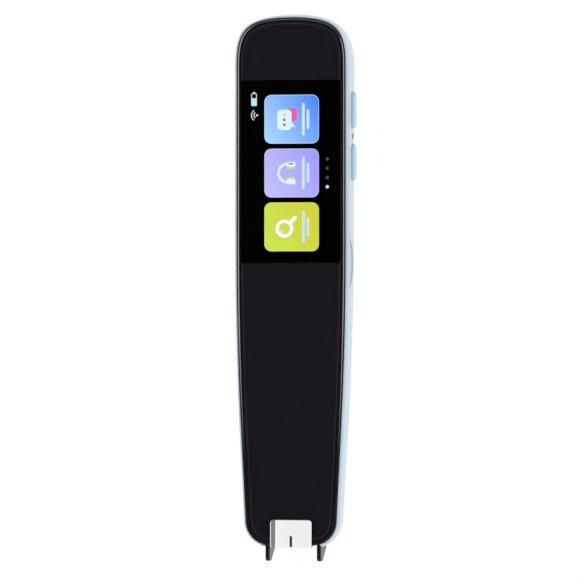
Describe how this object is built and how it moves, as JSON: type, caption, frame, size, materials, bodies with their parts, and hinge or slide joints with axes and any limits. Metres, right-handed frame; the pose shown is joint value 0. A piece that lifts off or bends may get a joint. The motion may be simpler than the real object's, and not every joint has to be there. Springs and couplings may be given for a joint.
{
  "type": "scanning pen",
  "caption": "Flat handheld scanning pen with a glass front and display, a sprung fork round a clear window at the tip, and keys on one side.",
  "frame": {"origin": "middle of the flat back that the pen lies on", "axes": "+Z out of the screen, +Y along the pen towards its tail and away from the scanning tip, +X towards the side with the keys"},
  "size_m": [0.0347, 0.1551, 0.013],
  "materials": {
    "shell_blue": "satin moulded plastic, pale blue",
    "key_blue": "satin moulded plastic, pale blue",
    "frame_black": "fine textured black plastic",
    "cover_black": "polished glass, printed black from behind",
    "clear_plate": "polished clear plastic",
    "mark_black": "matt black",
    "fork_black": "satin black plastic",
    "display_dark": "dark display cell",
    "diffuser_white": "white diffuser",
    "thin_steel": "thin pressed steel",
    "spring_steel": "drawn wire",
    "screw_steel": "blackened steel",
    "board_green": "solder mask",
    "chip_black": "moulded epoxy",
    "flex_amber": "polyimide film",
    "battery_foil": "laminated foil",
    "foam_grey": "closed-cell foam",
    "lens_clear": "coated glass",
    "led_white": "LED package",
    "lead_red": "lead insulation"
  },
  "bodies": {
    "pen_body": {"back_shell": "shell_blue", "front_frame": "frame_black", "glass_bond": "frame_black", "cover_glass": "cover_black", "window_plate": "clear_plate", "centre_mark": "mark_black", "display_panel": "display_dark", "display_light_guide": "diffuser_white", "display_tray": "thin_steel", "display_flex": "flex_amber", "head_housing": "frame_black", "lens_barrel": "frame_black", "lens": "lens_clear", "sensor_board": "board_green", "image_sensor": "chip_black", "camera_flex": "flex_amber", "led_board": "board_green", "scan_leds": "led_white", "return_spring": "spring_steel", "trigger_switch": "chip_black", "trigger_flex": "flex_amber", "key_board": "board_green", "key_switches": "thin_steel", "key_flex": "flex_amber", "microphone": "thin_steel", "microphone_boot": "foam_grey", "main_board": "board_green", "shield_can": "thin_steel", "processor_chips": "chip_black", "board_connectors": "diffuser_white", "wireless_module": "thin_steel", "antenna": "flex_amber", "usb_receptacle": "thin_steel", "usb_tongue": "chip_black", "speaker_mesh": "foam_grey", "speaker_gasket": "foam_grey", "speaker": "chip_black", "battery": "battery_foil", "battery_foam": "foam_grey", "protection_board": "board_green", "battery_leads": "lead_red", "frame_screws": "screw_steel", "board_screws": "screw_steel", "head_screws": "screw_steel"},
    "fork": {"scan_fork": "fork_black", "scan_window": "clear_plate"},
    "upper_key": {"upper_key": "key_blue"},
    "lower_key": {"lower_key": "key_blue"},
    "talk_key": {"talk_key": "key_blue"}
  },
  "joints": [
    {"name": "tip_press", "type": "slide", "parent": "pen_body", "child": "fork", "axis": [0, 1, 0], "range_m": [0, 0.0006], "stiffness_N_per_m": 1000, "springref_m": -0.0005, "deforming": ["return_spring"]},
    {"name": "upper_key_press", "type": "slide", "parent": "pen_body", "child": "upper_key", "axis": [-1, 0, 0], "range_m": [0, 0.0003], "stiffness_N_per_m": 2000, "springref_m": -0.0002},
    {"name": "lower_key_press", "type": "slide", "parent": "pen_body", "child": "lower_key", "axis": [-1, 0, 0], "range_m": [0, 0.0003], "stiffness_N_per_m": 2000, "springref_m": -0.0002},
    {"name": "talk_key_press", "type": "slide", "parent": "pen_body", "child": "talk_key", "axis": [-1, 0, 0], "range_m": [0, 0.0003], "stiffness_N_per_m": 2000, "springref_m": -0.0002}
  ]
}
